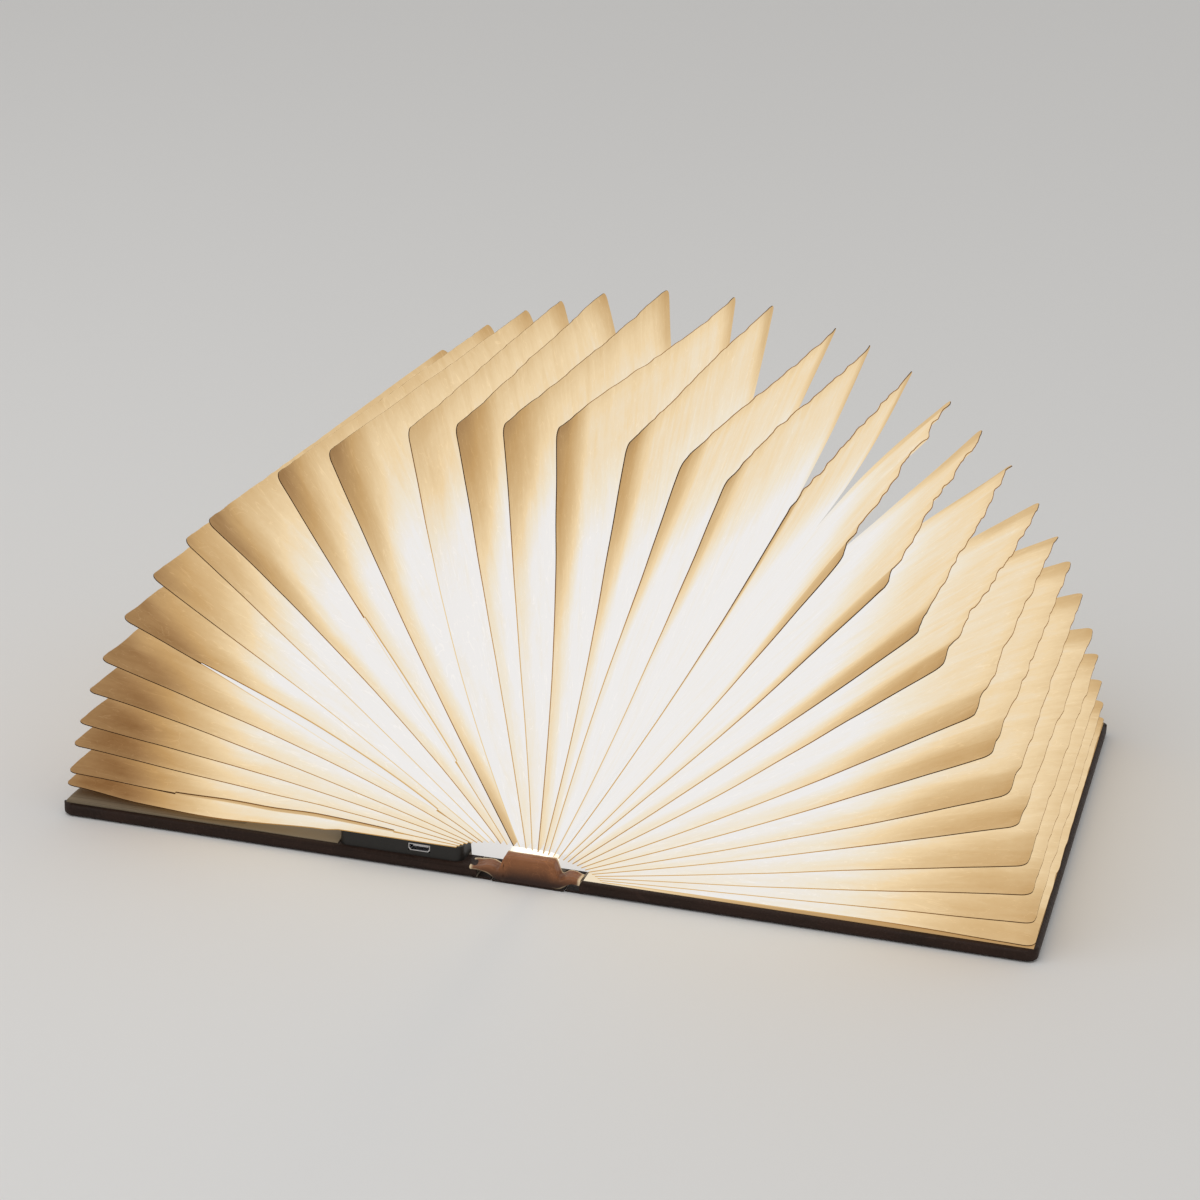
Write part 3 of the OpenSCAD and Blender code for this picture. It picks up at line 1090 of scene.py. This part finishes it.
@dataclass
class Cover:
    """One cover: its wrapped board and the loose sheets lying on it."""

    side: Side
    hinge: Vector
    corner: float = 4.0 * MM
    edge_round: float = 1.4 * MM
    lip: float = 12.5 * MM
    groove: float = 4.6 * MM
    step: float = 0.45 * MM
    step_width: float = 0.15 * MM
    inner_lip: float = 2.5 * MM
    skin: float = 0.5 * MM
    skin_lap: float = 2.0 * MM
    skin_short: float = 1.2 * MM
    skin_shift: float = 0.6 * MM
    skin_rise: float = 0.02 * MM
    skin_round: float = 0.15 * MM
    spread: float = 2.0 * MM

    def build_wrap(self, finishes: Finishes) -> Piece:
        """Models the wrapped board with soft edges and turned-in lips round the endpaper.

        Args:
            finishes: The lamp's materials.

        Returns:
            The piece.
        """
        low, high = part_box(f"{self.side.label}_cover_wrap")
        reach = max(abs(low.x), abs(high.x)) - abs(self.hinge.x)
        mesh = bmesh.new()
        block(mesh, (reach - self.groove, high.y - low.y, high.z),
              ((reach + self.groove) / 2.0, 0.0, high.z / 2.0))
        top = next(f for f in mesh.faces if f.normal.z > 0.9)
        outside = list(mesh.edges)
        bmesh.ops.inset_region(mesh, faces=[top], thickness=self.lip, depth=0.0)
        for vert in top.verts:
            if vert.co.x < reach / 2.0:
                vert.co.x = self.groove + self.inner_lip
        bmesh.ops.inset_region(mesh, faces=[top], thickness=self.step_width, depth=-self.step)
        posts = [e for e in outside if abs(e.verts[0].co.z - e.verts[1].co.z) > high.z / 2.0
                 and e.verts[0].co.x > reach - MM]
        soften(mesh, posts, self.corner, 7)
        rims = [e for e in mesh.edges if len(e.link_faces) == 2
                and abs(e.link_faces[0].normal.z - e.link_faces[1].normal.z) > 0.9
                and max(abs(f.normal.z) for f in e.link_faces) > 0.9
                and (e.verts[0].co.z < 0.1 * MM or e.verts[0].co.z > high.z - 0.1 * MM)
                and min(f.calc_area() for f in e.link_faces) > 2e-6]
        soften(mesh, rims, self.edge_round, 4)
        strip = block(mesh, (self.groove + self.skin_lap, high.y - low.y - self.skin_short, self.skin),
                      (self.groove / 2.0 + self.skin_shift, 0.0, self.skin / 2.0 + self.skin_rise))
        soften(mesh, list({e for v in strip for e in v.link_edges}), self.skin_round, 2)
        bmesh.ops.scale(mesh, vec=(self.side.value, 1.0, 1.0), verts=mesh.verts[:])
        bmesh.ops.translate(mesh, verts=mesh.verts[:], vec=(self.hinge.x, 0.0, 0.0))
        for face in mesh.faces:
            face.smooth = face.calc_area() < 1e-4
        piece = finish_piece(f"{self.side.label}_wrapped_cover", mesh, [finishes.cover])
        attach(piece, self.side.body)
        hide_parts(f"{self.side.label}_cover_wrap")
        return piece

    def build_loose_sheets(self, page: Page, finishes: Finishes) -> Piece:
        """Models the loose sheets between the endpaper and the lowest page, as one soft stack.

        Args:
            page: The page that lies over them.
            finishes: The lamp's materials.

        Returns:
            The piece.
        """
        low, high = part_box(f"{self.side.label}_flyleaf")
        left = self.side is Side.LEFT
        inner, outer = (high.x, low.x) if left else (low.x - self.spread, high.x)
        outer += self.side.value * self.spread
        half = (high.y - low.y) / 2.0 + self.spread
        pile, rise, patch = (0.5, 2.3, 1.1) if left else (0.3, 1.1, 1.5)
        mesh = slab(lines(0.0, 1.0, 30, 0.03), lines(-half, half, 40, 4.0 * MM))
        glow = mesh.verts.layers.float.new("glow")
        for vert in mesh.verts:
            vert[glow] = 0.85 - 0.5 * smooth(vert.co.x * 2.0)
            x, side = inner + (outer - inner) * vert.co.x, vert.co.y
            out = (Vector((x, 0.0, page.pivot.z)) - page.pivot).length
            ceiling = page.point(out, side, 0.0).z - 0.5 * MM - low.z
            most = (pile + rise * smooth(vert.co.x * patch)) * MM
            wave = 0.8 + 0.5 * ripple(x * 26.0, side * 24.0, 3.0 if left else 8.0)
            bevel = min(1.0, 0.35 + (half - abs(side)) / (3.0 * MM), 0.35 + (1.0 - vert.co.x) / 0.02)
            height = max(0.12 * MM, min(ceiling, most * wave)) * bevel
            vert.co = Vector((x, side, low.z + 0.05 * MM + height * vert.co.z))
        for face in mesh.faces:
            face.smooth = abs(face.normal.z) > 0.7
        look = finishes.loose if left else finishes.page
        piece = finish_piece(f"{self.side.label}_loose_sheets", mesh, [look])
        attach(piece, self.side.body)
        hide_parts(f"{self.side.label}_flyleaf")
        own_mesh(piece)
        return piece


@dataclass
class EndFold:
    """The wrap folded over one end of the spine, with a crumpled gusset down to each cover."""

    end: End
    hinge: float
    roof_z: float
    cover_z: float
    roof_half: float = 9.0 * MM
    edge_y: float = 107.45 * MM
    thick: float = 0.45 * MM
    turn: float = 1.0 * MM
    flap: float = 4.9 * MM
    lap: float = 1.4 * MM
    gusset_flap: float = 6.6 * MM
    flat_half: float = 6.0 * MM
    reach: dict[Side, float] = field(default_factory=lambda: {Side.LEFT: 21.0 * MM, Side.RIGHT: 18.5 * MM})

    @property
    def seed(self) -> float:
        """A number that keeps the creases of the two ends apart."""
        return 3.0 + 4.0 * self.end.value

    def _height(self, x: float) -> float:
        """Height of the fold over the table at a place across the spine.

        Args:
            x: Place across the spine.

        Returns:
            The height.
        """
        size = abs(x)
        drop = smooth((size - self.roof_half + 0.6 * MM) / (2.6 * MM))
        valley = self.cover_z - 0.5 * MM + 1.2 * MM * smooth((size - self.roof_half - 1.4 * MM) / (3.6 * MM))
        valley -= 0.3 * MM * smooth((size - 15.0 * MM) / (3.0 * MM))
        return self.roof_z - 0.05 * MM + (valley - self.roof_z) * drop

    def _foot(self, x: float) -> float:
        """Height at which the fold's front starts."""
        ragged = 0.5 * MM * ripple(x * 300.0, self.seed, 4.0)
        return 0.5 * MM + (2.6 * MM + ragged) * smooth((abs(x) - self.roof_half - 1.0 * MM) / (6.0 * MM))

    def _depth(self, x: float) -> float:
        """How far the flap reaches in from the end.

        Args:
            x: Place across the spine.

        Returns:
            The reach.
        """
        size = abs(x)
        torn = 1.0 + 0.2 * ripple(x * 190.0, self.seed, 1.0)
        out = smooth((size - self.roof_half + 1.5 * MM) / (4.0 * MM))
        return self.flap * (1.0 - out) + self.gusset_flap * out * torn

    def _point(self, x: float, run: float, outer: bool) -> Vector:
        """Point of the folded wrap.

        Args:
            x: Place across the spine.
            run: 0 at the foot of the front and 1 at the flap's free edge.
            outer: Whether the point is on the outer face.

        Returns:
            The point.
        """
        foot, top, depth, turn = self._foot(x), self._height(x), self._depth(x), self.turn
        rise = max(0.1 * MM, top - turn - foot)
        arc = turn * math.pi / 2.0
        travel = run * (rise + arc + depth - turn)
        if travel < rise:
            y, z, swing = self.edge_y, foot + travel, 0.0
        elif travel < rise + arc:
            swing = (travel - rise) / turn
            y, z = self.edge_y - turn + turn * math.cos(swing), top - turn + turn * math.sin(swing)
        else:
            y, z, swing = self.edge_y - turn - (travel - rise - arc), top, math.pi / 2.0
        loose = smooth((abs(x) - self.flat_half) / (4.0 * MM))
        spot = Vector((x * 150.0, y * 130.0, z * 120.0 + self.seed))
        crease = (0.14 + 0.9 * loose) * MM * (0.25 - abs(noise.noise(spot))) * smooth(run * 4.0)
        crease += (0.08 + 0.12 * loose) * MM * noise.noise(spot * 2.6)
        skin = crease - (0.0 if outer else self.thick)
        y, z = y + math.cos(swing) * min(skin, 0.05 * MM), z + math.sin(swing) * skin
        return Vector((x, self.end.value * min(y, self.edge_y), max(z, 0.3 * MM)))

    def _build(self, name: str, xs: list[float], finishes: Finishes) -> Piece:
        """Models the fold between given lines.

        Args:
            name: The piece's name.
            xs: Places of its lines across the spine, ascending.
            finishes: The lamp's materials.

        Returns:
            The piece.
        """
        mesh = slab(xs, [i / 34 for i in range(35)])
        torn = mesh.verts.layers.float.new("torn")
        fade = mesh.verts.layers.float.new("fade")
        tips = (-self.reach[Side.LEFT], self.reach[Side.RIGHT])
        for vert in mesh.verts:
            x, run, outer = vert.co.x, vert.co.y, vert.co.z > 0.5
            loose = smooth((abs(x) - self.flat_half) / (3.0 * MM))
            ends = smooth((1.3 * MM - min(abs(x - tips[0]), abs(x - tips[1]))) / (0.9 * MM))
            frayed = smooth(ripple(x * 230.0, self.seed, 7.0) + 0.4)
            frayed *= smooth((abs(x) - 8.0 * MM) / (3.0 * MM))
            rims = max(smooth((run - 0.9) / 0.06), smooth((0.06 - run) / 0.05) * frayed)
            vert[torn] = max(ends, rims * (0.35 + 0.65 * loose))
            vert.co = self._point(x, run, outer)
            # Painted shade: strongest near the table and gone towards the roof.
            vert[fade] = 1.0 - smooth((vert.co.z - 1.2 * MM) / (self.roof_z - 2.6 * MM - 2.5 * MM * loose))
        for face in mesh.faces:
            face.smooth = True
        return finish_piece(name, mesh, [finishes.copper], 1)

    def build(self, finishes: Finishes) -> None:
        """Models the roof and both gussets of this end.

        Args:
            finishes: The lamp's materials.
        """
        label, seam = self.end.name.lower(), self.roof_half - 0.8 * MM
        edge = seam + self.lap
        roof = self._build(f"spine_turn_in_{label}", [edge * i / 15 for i in range(-15, 16)], finishes)
        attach(roof, "spine")
        if self.end is End.TAIL:
            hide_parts("spine_wrap")
        LOG.info("made %s", roof.name)
        for side in Side:
            ends = sorted((side.value * seam, side.value * self.reach[side]))
            xs = [ends[0] + (ends[1] - ends[0]) * i / 26 for i in range(27)]
            gusset = self._build(f"{side.label}_gusset_{label}", xs, finishes)
            side.value * (self.hinge + 3.5 * MM)
            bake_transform(gusset)
            LOG.info("made %s", gusset.name)


# ---- Spine ----


@dataclass
class Spine:
    """The spine: dark skin underneath and a fold of wrap over each end."""

    hinge: float
    edge_round: float = 0.18 * MM

    def build_skin(self, finishes: Finishes) -> Piece:
        """Models the skin under the spine, with softened edges.

        Args:
            finishes: The lamp's materials.

        Returns:
            The piece.
        """
        low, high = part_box("spine_wrap")
        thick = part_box("spine_board")[0].z
        mesh = bmesh.new()
        block(mesh, (high.x - low.x, high.y - low.y, thick), (0.0, 0.0, thick / 2.0))
        soften(mesh, mesh.edges[:], self.edge_round, 3)
        piece = finish_piece("spine_skin", mesh, [finishes.cover])
        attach(piece, "spine")
        return piece

    def build(self, finishes: Finishes) -> None:
        """Models the spine's pieces.

        Args:
            finishes: The lamp's materials.
        """
        LOG.info("made %s", self.build_skin(finishes).name)
        roof_z, cover_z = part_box("spine_wrap")[1].z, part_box("left_cover_wrap")[1].z
        for end in End:
            EndFold(end, self.hinge, roof_z, cover_z).build(finishes)


def dress_nodes(frame: dict[str, Any], finishes: Finishes) -> None:
    """Gives every CAD node that still shows its material.

    Args:
        frame: The loaded frame.
        finishes: The lamp's materials.
    """
    wear = {
        "spine_board": finishes.board, "lamp_housing": finishes.housing, "diffuser": finishes.glow,
        "led_board": finishes.white_board, "led_chips": finishes.chip, "hall_sensor": finishes.black,
        "case_base": finishes.black, "case_lid": finishes.black, "battery_cell": finishes.foil,
        "charge_board": finishes.green_board, "usb_socket": finishes.steel, "spine_wrap": finishes.copper,
    }
    for side in Side:
        wear[f"{side.label}_cover_board"] = finishes.board
        wear[f"{side.label}_cover_wrap"] = finishes.cover
        wear[f"{side.label}_endpaper"] = finishes.endpaper
        wear[f"{side.label}_flyleaf"] = finishes.loose
        wear[f"{side.label}_cover_magnets"] = finishes.nickel
    for name, node in frame["nodes"].items():
        node.data.materials.clear()
        node.data.materials.append(wear.get(name, finishes.page))


# ---- Studio ----


@dataclass
class Studio:
    """Pale floor, soft light and the camera."""

    floor_tone: float = 0.78
    floor_half: float = 6.0
    floor_z: float = -0.2 * MM
    world_strength: float = 0.62
    world_tint: Colour = (1.0, 0.985, 0.96)
    key_energy: float = 9.0
    key_size: float = 1.6
    key_place: Spot = (-0.7, -0.9, 1.5)
    key_aim: Spot = (0.0, 0.0, 0.05)
    camera_place: Vector = field(default_factory=lambda: Vector((0.2465, -0.9496, 0.4108)))
    camera_aim: Vector = field(default_factory=lambda: Vector((0.0152, -0.0831, 0.0975)))
    camera_roll: float = 2.2
    lens: float = 84.8

    def build_floor(self) -> None:
        """Lays the floor."""
        mesh = bmesh.new()
        bmesh.ops.create_grid(mesh, x_segments=1, y_segments=1, size=self.floor_half)
        shader = Shader("floor", Base_Color=(self.floor_tone,) * 3, Roughness=0.9, Specular_IOR_Level=0.1)
        floor = finish_piece("floor", mesh, [shader.material])
        floor.data.transform(Matrix.Translation((0.0, 0.0, self.floor_z)))

    def build_light(self) -> None:
        """Sets the world and one large soft lamp."""
        world = bpy.data.worlds.new("studio")
        bpy.context.scene.world = world
        world.use_nodes = True
        background = world.node_tree.nodes["Background"]
        background.inputs["Color"].default_value = (*self.world_tint, 1.0)
        background.inputs["Strength"].default_value = self.world_strength
        data = bpy.data.lights.new("key", "AREA")
        data.energy, data.size = self.key_energy, self.key_size
        lamp = bpy.data.objects.new("key", data)
        lamp.location = self.key_place
        lamp.rotation_euler = (Vector(self.key_aim) - lamp.location).to_track_quat("-Z", "Y").to_euler()
        bpy.context.scene.collection.objects.link(lamp)

    def build_camera(self) -> None:
        """Places the camera."""
        data = bpy.data.cameras.new("camera")
        data.lens, data.sensor_width = self.lens, 36.0
        camera = bpy.data.objects.new("camera", data)
        turn = (self.camera_aim - self.camera_place).to_track_quat("-Z", "Y").to_matrix().to_4x4()
        roll = Matrix.Rotation(math.radians(self.camera_roll), 4, "Z")
        camera.matrix_world = Matrix.Translation(self.camera_place) @ turn @ roll
        bpy.context.scene.collection.objects.link(camera)
        bpy.context.scene.camera = camera

    def build(self) -> None:
        """Sets up the whole studio."""
        self.build_floor()
        self.build_light()
        self.build_camera()
        bpy.context.scene.view_settings.view_transform = "Standard"


def hinge_of(frame: dict[str, Any], side: Side) -> Vector:
    """The hinge point of a cover."""
    joint = next(j for j in frame["joints"] if j["name"] == side.joint)
    return Vector(joint["pos_m"])


def main() -> None:
    """Builds the lamp round its frame."""
    logging.basicConfig(level=logging.INFO, format="%(message)s")
    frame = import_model()
    Studio().build()
    finishes = Finishes()
    dress_nodes(frame, finishes)
    fan = PageFan.from_frame(frame)
    for side, page in ((Side.LEFT, fan.pages[0]), (Side.RIGHT, fan.pages[-1])):
        cover = Cover(side, hinge_of(frame, side))
        LOG.info("made %s", cover.build_wrap(finishes).name)
        LOG.info("made %s", cover.build_loose_sheets(page, finishes).name)
    Spine(hinge_of(frame, Side.RIGHT).x).build(finishes)
    fan.build(finishes)


if __name__ == "__main__":
    main()
